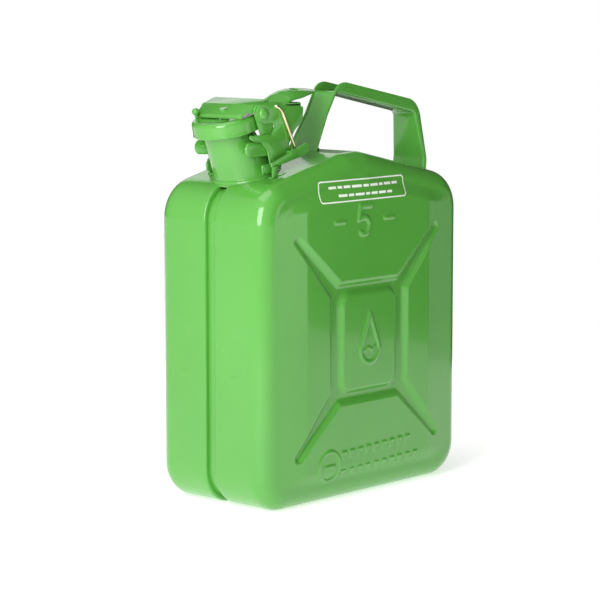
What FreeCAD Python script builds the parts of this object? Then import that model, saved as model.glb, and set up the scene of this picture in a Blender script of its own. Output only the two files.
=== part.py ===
import FreeCAD, Part
import math
import os
from FreeCAD import Vector

# Five litre pressed steel jerry can with a lever closure and a strap handle.
# Millimetres. X runs along the can with the spout at -X, Y is its thickness, Z is up.

# The closure overhangs the front, so every piece is saved this far along X,
# which puts the origin under the middle of the whole object.
FRAME_SHIFT = 1.47

# Body: two pressed halves with domed faces
LENGTH = 226.0
EDGE_THICKNESS = 109.2
FULL_THICKNESS = 118.0
WALL = 1.0
EDGE_RADIUS = 13.8
BOTTOM_CORNER = 27.0
TOP_CORNER = 30.0
SHOULDER_Z = 235.5
APEX_Z = 260.2
ROOF_SLOPE = 0.22
PANEL_HALF = 70.0

# Pressed cross and the square frame round the pad on each broad face
CROSS_X = 81.7
CROSS_LOW = 35.6
CROSS_HIGH = 202.0
CROSS_WIDTH = 20.0
FRAME_HALF = 45.4
FRAME_LOW = 71.0
FRAME_HIGH = 165.0
PAD_HALF = 30.0
PAD_LOW = 85.0
PAD_HIGH = 155.0
PRESS_FLOOR = 54.6

# Seam: a channel round the middle with a welded strip in it
SEAM_HALF = 4.5
SEAM_DEPTH = 5.0
STRIP_DROP = 3.6

# Neck: an oblique tube that ends in a short straight mouth
NECK_BASE_X = -73.0
NECK_BASE_R = 24.0
NECK_TOP_R = 18.0
NECK_WALL = 1.3
MOUTH_STRAIGHT = 6.0
LUG_FRONT_X = -101.5
LUG_REAR_X = -68.0
LUG_LOW = 259.6
LUG_HIGH = 270.4
LUG_OUT = 26.9
LUG_END_THICK = 4.5

# Cap: axis tilted towards the spout end
CAP_TILT = 13.0
CAP_X = -93.75
CAP_Z = 277.4
CAP_R = 25.0
CAP_HEIGHT = 11.8
SHEET = 1.4
GASKET_THICK = 2.4
GASKET_GAP = 0.3
GASKET_HOLE_R = 14.5
CENTRE_RIVET_R = 3.0
YOKE_HALF = 25.4
YOKE_FRONT_HALF = 23.1

# Lid frame, hinge, lever and lock wire
CHEEK_IN = 27.4
CHEEK_OUT = 28.8
HINGE_X = -59.0
HINGE_Z = 261.5
HINGE_PIN_R = 1.6
LEVER_X = -72.6
LEVER_Z = 296.0
WIRE_R = 1.0
WIRE_Y = 30.1
ARM_IN = 31.5
ARM_OUT = 33.3
RIVET_X = -85.5
RIVET_Z = 291.0
RIVET_R = 2.5
RUNNING = 0.08

# Finger lever: a flat root between two ears and a crowned tongue with a hole
LEVER_HALF = 26.9
LEVER_SHEET = 1.4
LEVER_ROOT_Z = 297.0
CROWN_HALF = 14.0
CROWN_TOP = 306.2
TONGUE_HOLE_X = -25.0
TONGUE_HOLE_Y = -3.6
TONGUE_HOLE_R = 3.6

# Handle: a strip bent into a channel with its flanges outwards. The flanges fade out down
# each leg while the web grows wider, and the rear leg ends in a flat tab.
HANDLE_SHEET = 1.5
HANDLE_GRIP_HALF = 11.4
HANDLE_TAB_HALF = 16.6
GRIP_Z = 285.0
TAB_Z = 246.0
TAB_END = 186.0

# Blank label near the top of the near face
LABEL_X = -6.5
LABEL_HALF = 48.5
LABEL_LOW = 224.5
LABEL_HEIGHT = 16.5
LABEL_THICK = 0.3


def rounded_wire(corners, y):
    """Closed outline in the XZ plane from (x, z, radius) corners."""
    points = [Vector(x, y, z) for x, z, _ in corners]
    count = len(points)
    edges = []
    starts = []
    for i in range(count):
        here, before, after = points[i], points[i - 1], points[(i + 1) % count]
        radius = corners[i][2]
        back = (before - here).normalize()
        ahead = (after - here).normalize()
        if radius <= 0:
            starts.append((here, here, here))
            continue
        half = back.getAngle(ahead) / 2
        reach = radius / math.tan(half)
        middle = (back + ahead).normalize() * (radius / math.sin(half) - radius)
        starts.append((here + back * reach, here + middle, here + ahead * reach))
    for i in range(count):
        first, mid, last = starts[i]
        if (first - last).Length > 1e-6:
            edges.append(Part.Arc(first, mid, last).toShape())
        following = starts[(i + 1) % count][0]
        if (following - last).Length > 1e-6:
            edges.append(Part.LineSegment(last, following).toShape())
    return Part.Wire(edges)


def slab(corners, y0, y1):
    """Solid between two Y planes from an XZ outline."""
    face = Part.Face(rounded_wire(corners, y0))
    return face.extrude(Vector(0, y1 - y0, 0))


def rod(a, b, radius):
    """Straight cylinder between two points."""
    direction = b - a
    return Part.makeCylinder(radius, direction.Length, a, direction)


def bent_rod(points, radius):
    """Round bar along a route with ball corners."""
    shape = rod(points[0], points[1], radius)
    for i in range(1, len(points) - 1):
        shape = shape.fuse(Part.makeSphere(radius, points[i]))
        shape = shape.fuse(rod(points[i], points[i + 1], radius))
    return shape.removeSplitter()


def mirror_y(shape):
    return shape.mirror(Vector(0, 0, 0), Vector(0, 1, 0))


def save(shape, node):
    shape = shape.copy()
    shape.translate(Vector(FRAME_SHIFT, 0, 0))
    shape.exportStep("parts/%s.step" % node)
    print(node, "valid", shape.isValid(), "solids", len(shape.Solids), "volume", round(shape.Volume, 1))


def roof_z(x):
    """Height of the sloping top at x, on either side of the apex."""
    return SHOULDER_Z + ROOF_SLOPE * (LENGTH / 2 - abs(x))


def body_corners(inset):
    """Outline of the can with every side moved in by inset."""
    side = LENGTH / 2 - inset
    return [
        (-side, inset, BOTTOM_CORNER - inset),
        (side, inset, BOTTOM_CORNER - inset),
        (side, SHOULDER_Z - inset, TOP_CORNER - inset),
        (2.0, APEX_Z - inset, 20.0),
        (-18.0, APEX_Z - 1.2 - inset, 20.0),
        (-side, SHOULDER_Z - inset, TOP_CORNER - inset),
    ]


def panel_corners(half, low, high, radius):
    return [(-half, low, radius), (half, low, radius), (half, high, radius), (-half, high, radius)]


def press_tool(grow):
    """The cross and frame recess of the near face, deeper by grow."""
    floor = -PRESS_FLOOR + grow
    top = -FULL_THICKNESS
    mid_z = (CROSS_LOW + CROSS_HIGH) / 2
    tool = None
    rise = (CROSS_HIGH - CROSS_LOW) / 2
    reach = math.hypot(CROSS_X, rise)
    lean = math.degrees(math.atan2(rise, CROSS_X))
    half = CROSS_WIDTH / 2 + grow
    for sign in (-1, 1):
        bar = slab(panel_corners(reach + grow, -half, half, half * 0.9), top, floor)
        bar.rotate(Vector(0, 0, 0), Vector(0, 1, 0), -sign * lean)
        bar.translate(Vector(0, 0, mid_z))
        tool = bar if tool is None else tool.fuse(bar)
    frame = slab(panel_corners(FRAME_HALF + grow, FRAME_LOW - grow, FRAME_HIGH + grow, 10), top, floor)
    pad = slab(panel_corners(PAD_HALF - grow, PAD_LOW + grow, PAD_HIGH - grow, 8), top, floor)
    return tool.fuse(frame).cut(pad)


def body_solid(inset):
    """Whole can without seam: filleted slab, domed facets and pressings."""
    half = EDGE_THICKNESS / 2 - inset
    core = slab(body_corners(inset), -half, half)
    rims = [e for e in core.Edges if abs(abs(e.BoundBox.YMin) - half) < 1e-4 and e.BoundBox.YLength < 1e-4]
    core = core.makeFillet(EDGE_RADIUS - inset, rims)
    for sign in (-1, 1):
        edge = LENGTH / 2 - EDGE_RADIUS - 1
        low = rounded_wire(panel_corners(edge, 15, 234, 20), sign * (half - 0.01))
        high = rounded_wire(panel_corners(PANEL_HALF, 28, 212, 20), sign * (FULL_THICKNESS / 2 - inset))
        core = core.fuse(Part.makeLoft([low, high], True, True))
    tool = press_tool(inset)
    return core.cut(tool).cut(mirror_y(tool))


def body_halves(hole):
    """Near and far pressed halves, each with its seam wall turned in."""
    outer = body_solid(0)
    inner = body_solid(WALL)
    channel = slab(body_corners(-30), -SEAM_HALF, SEAM_HALF)
    channel = channel.cut(slab(body_corners(SEAM_DEPTH), -SEAM_HALF, SEAM_HALF))
    ring = slab(body_corners(0), -SEAM_HALF - WALL, -SEAM_HALF)
    ring = ring.cut(slab(body_corners(SEAM_DEPTH + 1), -SEAM_HALF - WALL, -SEAM_HALF))
    skin = outer.cut(inner)
    near_box = Part.makeBox(400, 200, 500, Vector(-200, -200 - SEAM_HALF, -50))
    near = skin.common(near_box).fuse(ring.common(outer)).cut(hole)
    near = near.removeSplitter()
    return outer, near, mirror_y(near)


def seam_strip(hole):
    """Welded strip in the bottom of the channel, closed all the way round."""
    band = slab(body_corners(STRIP_DROP), -SEAM_HALF, SEAM_HALF)
    band = band.cut(slab(body_corners(STRIP_DROP + 1.4), -SEAM_HALF, SEAM_HALF))
    return band.cut(hole)


# Axes of the cap and the neck
TILT = math.radians(CAP_TILT)
CAP_UP = Vector(-math.sin(TILT), 0, math.cos(TILT))
CAP_BACK = Vector(math.cos(TILT), 0, math.sin(TILT))
CAP_BASE = Vector(CAP_X, 0, CAP_Z)
RIM_HEIGHT = CAP_HEIGHT - SHEET - GASKET_THICK - GASKET_GAP
ROOF_UP = Vector(-ROOF_SLOPE, 0, 1).normalize()
NECK_FOOT = Vector(NECK_BASE_X, 0, roof_z(NECK_BASE_X))


def on_cap(back, y, up):
    """Point in the cap's own tilted frame."""
    return CAP_BASE + CAP_BACK * back + Vector(0, y, 0) + CAP_UP * up


def circle_wire(centre, normal, radius):
    return Part.Wire([Part.makeCircle(radius, centre, normal)])


def neck_solid(shrink):
    """Oblique cone from the roof to the straight mouth."""
    rim = on_cap(0, 0, RIM_HEIGHT)
    waist = rim - CAP_UP * MOUTH_STRAIGHT
    low = circle_wire(NECK_FOOT, ROOF_UP, NECK_BASE_R - shrink)
    high = circle_wire(waist, CAP_UP, NECK_TOP_R - shrink)
    cone = Part.makeLoft([low, high], True, True)
    return cone.fuse(rod(waist, rim, NECK_TOP_R - shrink)).removeSplitter()


def cheek_plate():
    """Side plate of the lid frame: rivet eye, head, stem, hook foot and hinge eye."""
    outline = [
        (-84.0, 283.8, 2), (-75.7, 283.8, 1), (-72.1, 282.0, 1), (-76.6, 275.6, 1), (-99.0, 275.6, 0.8),
        (-99.3, 273.0, 1), (-94.8, 271.0, 3), (-87.0, 270.6, 5), (-81.0, 264.0, 3), (-77.6, 254.0, 1),
        (-86.8, 253.6, 0.8), (-86.0, 246.4, 2), (-67.0, 250.2, 3), (-63.8, 257.8, 1), (-57.0, 258.4, 2.5),
        (-55.4, 263.6, 2.5), (-58.2, 267.0, 2), (-52.1, 277.1, 5), (-43.0, 284.6, 2), (-42.1, 294.9, 2),
        (-58.4, 295.8, 8), (-78.0, 299.8, 6), (-90.0, 297.0, 3),
    ]
    plate = slab(outline, -CHEEK_OUT, -CHEEK_IN)
    plate = plate.fuse(rod(Vector(RIVET_X, -CHEEK_OUT, RIVET_Z), Vector(RIVET_X, -CHEEK_IN, RIVET_Z), 7.0))
    for x, z, radius in ((RIVET_X, RIVET_Z, RIVET_R), (LEVER_X, LEVER_Z, WIRE_R + RUNNING),
                         (HINGE_X, HINGE_Z, HINGE_PIN_R + RUNNING)):
        plate = plate.cut(rod(Vector(x, -CHEEK_OUT - 1, z), Vector(x, -CHEEK_IN + 1, z), radius))
    return plate.removeSplitter()


def yoke():
    """Wedge shaped pressing over the cap with an ear at each side for the rivets."""
    profile = [(-7.0, 11.8), (-6.6, 14.6), (7.2, 19.2), (19.0, 20.4),
               (19.0, 19.0), (7.6, 17.8), (-5.3, 13.5), (-5.6, 11.8)]
    points = [on_cap(u, -YOKE_HALF, w) for u, w in profile]
    body = Part.Face(Part.makePolygon(points + [points[0]])).extrude(Vector(0, 2 * YOKE_HALF, 0))
    plan = [(-8.0, -YOKE_FRONT_HALF), (7.0, -YOKE_HALF), (20.0, -YOKE_HALF),
            (20.0, YOKE_HALF), (7.0, YOKE_HALF), (-8.0, YOKE_FRONT_HALF)]
    corners = [on_cap(u, y, 8.0) for u, y in plan]
    body = body.common(Part.Face(Part.makePolygon(corners + [corners[0]])).extrude(CAP_UP * 16))
    ear_profile = [(9.0, -5.2), (21.0, -5.2), (21.0, 15.0), (19.0, 20.0),
                   (7.4, 18.7), (4.5, 17.2), (4.5, 11.0)]
    for sign in (-1, 1):
        y0 = sign * (CHEEK_IN - 0.1)
        y1 = sign * (CHEEK_IN - 2.1)
        outline = [on_cap(u, 0, w) for u, w in ear_profile]
        for p in outline:
            p.y = y0
        ear = Part.Face(Part.makePolygon(outline + [outline[0]])).extrude(Vector(0, y1 - y0, 0))
        ear = ear.fuse(rod(Vector(RIVET_X, y0, RIVET_Z), Vector(RIVET_X, y1, RIVET_Z), 2.9))
        ear = ear.cut(rod(Vector(RIVET_X, y0 * 1.1, RIVET_Z), Vector(RIVET_X, y1 * 0.9, RIVET_Z), RIVET_R))
        body = body.fuse(ear)
    body = body.cut(rod(on_cap(0, 0, 0), on_cap(0, 0, CAP_HEIGHT), CAP_R + 0.2))
    body = body.cut(rod(Vector(LEVER_X, -40, LEVER_Z), Vector(LEVER_X, 40, LEVER_Z), 4.6))
    return body.cut(rod(on_cap(0, 0, 5), on_cap(0, 0, 25), CENTRE_RIVET_R)).removeSplitter()


def crown_solid(inset):
    """Filled hump of the lever's tongue, every side moved in by inset."""
    half = CROWN_HALF - inset
    top = CROWN_TOP - inset
    base = LEVER_ROOT_Z - 6.0
    spring = LEVER_ROOT_Z - LEVER_SHEET
    corners = [Vector(-60, -half, base), Vector(-60, -half, spring), Vector(-60, 0, top),
               Vector(-60, half, spring), Vector(-60, half, base)]
    edges = [Part.LineSegment(corners[0], corners[1]).toShape(),
             Part.Arc(corners[1], corners[2], corners[3]).toShape(),
             Part.LineSegment(corners[3], corners[4]).toShape(),
             Part.LineSegment(corners[4], corners[0]).toShape()]
    hump = Part.Face(Part.Wire(edges)).extrude(Vector(80, 0, 0))
    side = slab([(-45.0 + inset, base, 0), (-45.0 + inset, 296.0 - inset, 0), (-40.5, 297.7 - inset, 5),
                 (-26.0, 305.6 - inset, 10), (-18.0, top, 30), (4.0, top - 1.6, 0), (4.0, base, 0)], -30, 30)
    return hump.common(side)


def lever():
    """Finger lever with a crowned tongue, carried by two ears on the wire."""
    root_low = LEVER_ROOT_Z - LEVER_SHEET
    plan = [Vector(-66.0, -LEVER_HALF, root_low), Vector(-43.0, -LEVER_HALF, root_low),
            Vector(-28.0, -CROWN_HALF, root_low), Vector(-28.0, CROWN_HALF, root_low),
            Vector(-43.0, LEVER_HALF, root_low), Vector(-66.0, LEVER_HALF, root_low)]
    root = Part.Face(Part.makePolygon(plan + [plan[0]])).extrude(Vector(0, 0, LEVER_SHEET))
    front = Part.Arc(Vector(-66.0, -23.0, 0), Vector(-51.0, 0, 0), Vector(-66.0, 23.0, 0)).toShape()
    chord = Part.LineSegment(Vector(-66.0, -23.0, 0), Vector(-66.0, 23.0, 0)).toShape()
    mouth = Part.Face(Part.Wire([front, chord])).extrude(Vector(0, 0, 400))
    near_side, far_side = Vector(-28.0, -CROWN_HALF, 0), Vector(-28.0, CROWN_HALF, 0)
    tongue = Part.Arc(near_side, Vector(-1.0, 0, 0), far_side).toShape()
    sides = [far_side, Vector(-60.0, CROWN_HALF, 0), Vector(-60.0, -CROWN_HALF, 0), near_side]
    shape = Part.Face(Part.Wire([tongue] + Part.makePolygon(sides).Edges)).extrude(Vector(0, 0, 400))
    inner = crown_solid(LEVER_SHEET)
    rim = Part.makeBox(90, 60, 50, Vector(-70, -30, root_low))
    crown = crown_solid(0).common(shape).common(rim).cut(inner)
    body = root.cut(mouth).cut(inner).fuse(crown)
    ear = slab([(-75.6, 293.0, 2.5), (-43.0, 293.0, 1), (-43.0, LEVER_ROOT_Z, 0), (-68.0, LEVER_ROOT_Z, 1),
                (-75.6, 299.0, 2.5)], -LEVER_HALF, -LEVER_HALF + LEVER_SHEET)
    body = body.fuse(ear).fuse(mirror_y(ear))
    body = body.cut(rod(Vector(LEVER_X, -40, LEVER_Z), Vector(LEVER_X, 40, LEVER_Z), WIRE_R + RUNNING))
    hole_foot = Vector(TONGUE_HOLE_X, TONGUE_HOLE_Y, 290)
    hole = rod(hole_foot, hole_foot + Vector(0, 0, 30), TONGUE_HOLE_R)
    return body.cut(hole).removeSplitter()


def handle_web(lift):
    """Outline under the channel's web, moved outwards by lift."""
    return [
        (-11.2 - lift * 1.16, 257.3, 0), (16.2 - lift * 0.74, 302.4 + lift, 4.0 + lift),
        (107.6 + lift, 283.7 + lift, 7.0 + lift), (114.0 + lift, 248.0, 20.0),
        (113.0 + lift, 222.0, 10.0), (113.0 + lift, 180.0, 0), (80.0, 180.0, 0),
    ]


def handle_edge(lift):
    """Outline along the free edges of the flanges, moved outwards by lift."""
    return [
        (-13.3 - lift, 256.8, 0), (17.3 - lift * 0.7, 311.7 + lift, 13.5), (113.6 + lift, 292.6 + lift, 17.0),
        (117.4 + lift, 247.0, 14.0), (114.5 + lift, 220.0, 8.0), (114.5 + lift, 180.0, 0), (80.0, 180.0, 0),
    ]


def handle_width(inset):
    """Front view of the strip's width, narrow at the grip and wide at the tab."""
    grip = HANDLE_GRIP_HALF - inset
    tab = HANDLE_TAB_HALF - inset
    steps = [(tab, TAB_END), (tab, TAB_Z), (grip, GRIP_Z), (grip, 330.0)]
    points = [Vector(-40, -half, z) for half, z in steps]
    points += [Vector(-40, half, z) for half, z in reversed(steps)]
    return Part.Face(Part.makePolygon(points + [points[0]])).extrude(Vector(200, 0, 0))


def handle_solid():
    """Channel handle from the roof, over the grip and down to a tab on the rear side."""
    strip = slab(handle_edge(0), -20, 20).cut(slab(handle_web(0), -20, 20)).common(handle_width(0))
    trough = slab(handle_edge(4), -20, 20).cut(slab(handle_web(HANDLE_SHEET), -20, 20))
    shape = strip.cut(trough.common(handle_width(HANDLE_SHEET)))
    shape = shape.cut(slab(body_corners(0), -40, 40))
    return sorted(shape.Solids, key=lambda s: s.Volume)[-1]


def main():
    os.makedirs("parts", exist_ok=True)
    neck_inner = neck_solid(NECK_WALL)
    hole = rod(NECK_FOOT - ROOF_UP * 12, NECK_FOOT + ROOF_UP * 6, NECK_BASE_R - NECK_WALL)
    outer, near, far = body_halves(hole)
    save(near, "body_half_near")
    save(far, "body_half_far")
    save(seam_strip(hole), "seam_weld")

    neck = neck_solid(0).cut(neck_inner)
    lip = Part.makeTorus(NECK_TOP_R - 0.2, 0.9, on_cap(0, 0, RIM_HEIGHT - 0.9), CAP_UP)
    neck = neck.fuse(lip.cut(neck_inner)).cut(outer)
    save(neck, "neck")
    collar = Part.makeTorus(NECK_BASE_R + 0.4, 2.0, NECK_FOOT + ROOF_UP * 0.4, ROOF_UP)
    save(collar.cut(neck_solid(0)).cut(outer).cut(hole), "neck_weld")

    lug = slab([(LUG_FRONT_X, LUG_LOW, 5.4), (LUG_REAR_X, LUG_LOW, 5.4), (LUG_REAR_X, LUG_HIGH, 5.4),
                (LUG_FRONT_X, LUG_HIGH, 5.4)], -LUG_OUT, -10)
    inner_end = -LUG_OUT + LUG_END_THICK
    plan = [Vector(LUG_FRONT_X, -LUG_OUT, 250), Vector(LUG_REAR_X, -LUG_OUT, 250),
            Vector(LUG_REAR_X, -10, 250), Vector(-88.0, -10, 250),
            Vector(LUG_FRONT_X + 1.5, inner_end, 250), Vector(LUG_FRONT_X, inner_end, 250)]
    lug = lug.common(Part.Face(Part.makePolygon(plan + [plan[0]])).extrude(Vector(0, 0, 30)))
    lug = lug.cut(neck_solid(0))
    lug = sorted(lug.Solids, key=lambda s: s.CenterOfMass.y)[0]
    save(lug, "neck_lug_near")
    save(mirror_y(lug), "neck_lug_far")

    route = [Vector(-80, 0, 270), Vector(-64, 0, 237.5), Vector(-20, 0, 237.5)]
    tube = bent_rod(route, 4.0)
    bore_route = [route[0] + (route[0] - route[1]).normalize() * 2, route[1],
                  route[2] + (route[2] - route[1]).normalize() * 2]
    save(tube.cut(bent_rod(bore_route, 3.0)), "breather_tube")

    # Hinge brackets: a bar beside each cheek, on a leg and a foot welded to the roof
    bar = slab([(-81.5, 251.2, 1.5), (-40.4, 260.2, 4.0), (-40.4, 269.4, 4.0), (-81.5, 254.8, 1.5)],
               -ARM_OUT, -ARM_IN)
    leg = slab([(-80.0, 236, 0), (-75.0, 236, 0), (-75.0, 255, 0), (-80.0, 253, 0)], -ARM_OUT, -ARM_IN)
    foot = slab([(-80.0, roof_z(-80.0), 0), (-66.0, roof_z(-66.0), 0), (-66.0, roof_z(-66.0) + 1.8, 0),
                 (-80.0, roof_z(-80.0) + 1.8, 0)], -ARM_OUT, -28.2)
    bracket = bar.fuse(leg).fuse(foot).cut(outer)
    bracket = bracket.cut(rod(Vector(HINGE_X, -50, HINGE_Z), Vector(HINGE_X, 50, HINGE_Z), HINGE_PIN_R))
    bracket = bracket.removeSplitter()
    save(bracket, "hinge_bracket_near")
    save(mirror_y(bracket), "hinge_bracket_far")
    pin = rod(Vector(HINGE_X, -ARM_OUT - 1, HINGE_Z), Vector(HINGE_X, -CHEEK_IN + 1, HINGE_Z), HINGE_PIN_R)
    for low, high in ((-ARM_OUT - 1.2, -ARM_OUT), (-CHEEK_IN + 0.2, -CHEEK_IN + 1.0)):
        pin = pin.fuse(rod(Vector(HINGE_X, low, HINGE_Z), Vector(HINGE_X, high, HINGE_Z), 2.8))
    pin = pin.removeSplitter()
    save(pin, "hinge_pin_near")
    save(mirror_y(pin), "hinge_pin_far")

    # Lid frame
    cheek = cheek_plate()
    save(cheek, "lid_cheek_near")
    save(mirror_y(cheek), "lid_cheek_far")
    save(rod(Vector(-52.0, -CHEEK_IN, 286.0), Vector(-52.0, CHEEK_IN, 286.0), 2.2), "lid_spacer")
    save(yoke(), "lid_yoke")
    shank = rod(Vector(RIVET_X, -25.2, RIVET_Z), Vector(RIVET_X, -CHEEK_OUT, RIVET_Z), RIVET_R)
    ball = Part.makeSphere(4.2, Vector(RIVET_X, -CHEEK_OUT + 2.4, RIVET_Z))
    side = Part.makeBox(20, 10, 20, Vector(RIVET_X - 10, -CHEEK_OUT - 10, RIVET_Z - 10))
    head_rivet = shank.fuse(ball.common(side)).removeSplitter()
    save(head_rivet, "yoke_rivet_near")
    save(mirror_y(head_rivet), "yoke_rivet_far")

    # Cap with gasket, centre rivet and finger knob
    shell = rod(on_cap(0, 0, 0), on_cap(0, 0, CAP_HEIGHT), CAP_R)
    cap_top = on_cap(0, 0, CAP_HEIGHT)
    top_edge = [e for e in shell.Edges if e.CenterOfMass.distanceToPoint(cap_top) < 0.5]
    shell = shell.makeFillet(2.4, top_edge)
    shell = shell.cut(rod(on_cap(0, 0, -1), on_cap(0, 0, CAP_HEIGHT - SHEET), CAP_R - SHEET))
    save(shell.cut(rod(on_cap(0, 0, 5), on_cap(0, 0, CAP_HEIGHT + 2), CENTRE_RIVET_R)), "cap")
    ring_low = on_cap(0, 0, CAP_HEIGHT - SHEET - GASKET_THICK)
    ring = rod(ring_low, on_cap(0, 0, CAP_HEIGHT - SHEET), CAP_R - SHEET - 0.2)
    save(ring.cut(rod(on_cap(0, 0, 0), on_cap(0, 0, CAP_HEIGHT), GASKET_HOLE_R)), "cap_gasket")
    rivet = rod(on_cap(0, 0, CAP_HEIGHT - SHEET - 1.6), on_cap(0, 0, 17.6), CENTRE_RIVET_R)
    rivet = rivet.fuse(rod(on_cap(0, 0, CAP_HEIGHT - SHEET - 1.6), on_cap(0, 0, CAP_HEIGHT - SHEET), 6.0))
    save(rivet.removeSplitter(), "cap_rivet")
    knob = Part.makeSphere(2.8, Vector(-105.6, 20.4, 291.4))
    knob = knob.fuse(rod(Vector(-104.3, 20.4, 285.0), Vector(-105.3, 20.4, 290.0), 1.3)).cut(shell)
    knob = sorted(knob.cut(yoke()).Solids, key=lambda s: s.Volume)[-1]
    save(knob, "cap_knob")

    # Lever and lock wire
    save(lever(), "lever")
    start = Vector(LEVER_X, 29.8, LEVER_Z)
    corner = Vector(LEVER_X, -WIRE_Y, LEVER_Z)
    end = Vector(-52.6, -WIRE_Y, 263.2)
    save(bent_rod([start, corner, end], WIRE_R), "lock_wire")

    # Handle and its welds
    handle = handle_solid()
    save(handle, "handle")
    hull = slab(body_corners(0), -60, 60)
    bead = rod(Vector(-8.2, -12.6, 259.9), Vector(-8.2, 12.6, 259.9), 2.2)
    save(bead.cut(hull).cut(handle), "handle_weld_front")
    beads = None
    for sign in (-1, 1):
        side_y = sign * HANDLE_TAB_HALF
        line = rod(Vector(LENGTH / 2, side_y, 188), Vector(LENGTH / 2, side_y, 208), 1.8)
        line = line.cut(hull).cut(handle)
        beads = line if beads is None else Part.makeCompound([beads, line])
    save(beads, "handle_weld_rear")

    plate = slab(panel_corners(LABEL_HALF, 0, LABEL_HEIGHT, 3), -FULL_THICKNESS / 2 - 1, -45)
    plate.translate(Vector(LABEL_X, 0, LABEL_LOW))
    save(plate.common(body_solid(-LABEL_THICK)).cut(outer), "label")


main()
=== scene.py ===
"""Looks for the five litre jerry can: pressed body, enamel, closure, handle, studio light and camera."""
import math

import bmesh
import bpy
import numpy as np
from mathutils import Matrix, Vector
from mathutils.bvhtree import BVHTree


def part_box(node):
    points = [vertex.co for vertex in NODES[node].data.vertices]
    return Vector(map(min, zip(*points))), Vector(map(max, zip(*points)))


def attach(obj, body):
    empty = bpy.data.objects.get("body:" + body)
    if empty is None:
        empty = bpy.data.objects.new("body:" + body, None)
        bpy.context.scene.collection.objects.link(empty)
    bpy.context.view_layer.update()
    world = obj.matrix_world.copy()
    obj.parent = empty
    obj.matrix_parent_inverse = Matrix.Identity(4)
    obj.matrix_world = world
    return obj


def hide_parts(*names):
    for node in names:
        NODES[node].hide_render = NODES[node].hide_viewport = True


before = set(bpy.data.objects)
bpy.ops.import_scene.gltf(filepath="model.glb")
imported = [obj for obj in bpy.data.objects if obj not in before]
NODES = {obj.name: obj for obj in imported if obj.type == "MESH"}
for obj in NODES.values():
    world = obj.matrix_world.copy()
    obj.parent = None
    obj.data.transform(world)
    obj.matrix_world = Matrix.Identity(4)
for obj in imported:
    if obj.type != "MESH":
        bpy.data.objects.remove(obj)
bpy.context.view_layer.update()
MM = 0.001

# Body sizes in millimetres, read from the CAD halves
NEAR_LOW, NEAR_HIGH = [[v / MM for v in corner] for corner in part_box("body_half_near")]
MID_X = (NEAR_LOW[0] + NEAR_HIGH[0]) / 2
HALF_LENGTH = (NEAR_HIGH[0] - NEAR_LOW[0]) / 2
PANEL_Y = -NEAR_LOW[1]
APEX_Z = NEAR_HIGH[2]
SEAM_HALF = -NEAR_HIGH[1]

# Pressed shape of one half, as in the CAD model
EDGE_Y = PANEL_Y - 4.4
EDGE_RADIUS = 13.8
BOTTOM_CORNER = 27.0
TOP_CORNER = 30.0
SHOULDER_Z = 235.5
APEX_RADIUS = 20.0
SEAM_DEPTH = 5.0
CREASE_X = 70.0
CROSS_X = 81.7
CROSS_LOW, CROSS_HIGH = 35.6, 202.0
FRAME_HALF, FRAME_TALL = 45.4, 47.0
PAD_HALF, PAD_TALL = 28.8, 34.4
MARK_HEIGHT = 1.0
FACE_Y = PANEL_Y - MARK_HEIGHT
FRAME_MID = (CROSS_LOW + CROSS_HIGH) / 2
FLOOR_Y = EDGE_Y + 0.2
SLOPE = 5.4
BODY_SHEET = 0.9
ARC_POINTS = 160
FILLET_STEPS = 14
LIP_STEPS = 5
NEARLY_STRAIGHT = 1.569

# Raised marks of a face, in millimetres from its middle and its base
LOW_MARK = 0.8
NUMERAL_X, NUMERAL_Z, NUMERAL_TALL = -6.0, 210.0, 21.0
DASH_CENTRES, DASH_HALF = (-34.0, 22.0), 5.0
DROP_TIP_Z, DROP_Z, DROP_R = 139.0, 112.0, 10.5
RING_X, RING_Z, RING_R, RING_DASH_HALF = -45.0, 28.0, 11.2, 4.5
ANGLE_ROWS = ((34.5, -29.0, 9), (20.5, -29.0, 10))
ANGLE_STEP, ANGLE_RISE, ANGLE_REACH = 9.2, 0.035, 2.0

# Printed label
LABEL_LIFT = 0.1
LABEL_MARGIN, LABEL_CORNER = 0.6, 2.4
FRAME_LINE, BAR_LINE = 0.5, 0.95
BAR_UNIT, BAR_GAP = 1.14, 1.7


# ---------------------------------------------------------------- small maths

def smooth(t):
    t = np.clip(t, 0.0, 1.0)
    return t * t * (3 - 2 * t)


def ramp(x, centre, width):
    """0 before centre, slope 1 after it, rounded over width."""
    t = np.clip((x - centre) / width + 0.5, 0.0, 1.0)
    return np.where(x > centre + width / 2, x - centre, width * t * t / 2)


def rect_distance(x, z, half_x, half_z, radius):
    """Signed distance to a rounded rectangle at the origin, negative inside."""
    qx = np.abs(x) - half_x + radius
    qz = np.abs(z) - half_z + radius
    outside = np.hypot(np.maximum(qx, 0), np.maximum(qz, 0))
    return outside + np.minimum(np.maximum(qx, qz), 0) - radius


def stroke_distance(x, z, points):
    """Distance to a line through points."""
    best = np.full(np.shape(x), 1e9)
    for (ax, az), (bx, bz) in zip(points[:-1], points[1:]):
        dx, dz = bx - ax, bz - az
        t = np.clip(((x - ax) * dx + (z - az) * dz) / (dx * dx + dz * dz), 0, 1)
        best = np.minimum(best, np.hypot(x - ax - t * dx, z - az - t * dz))
    return best


def arc_points(cx, cz, radius, start, end, count):
    angles = np.radians(np.linspace(start, end, count))
    return [(cx + radius * math.cos(a), cz + radius * math.sin(a)) for a in angles]


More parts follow.
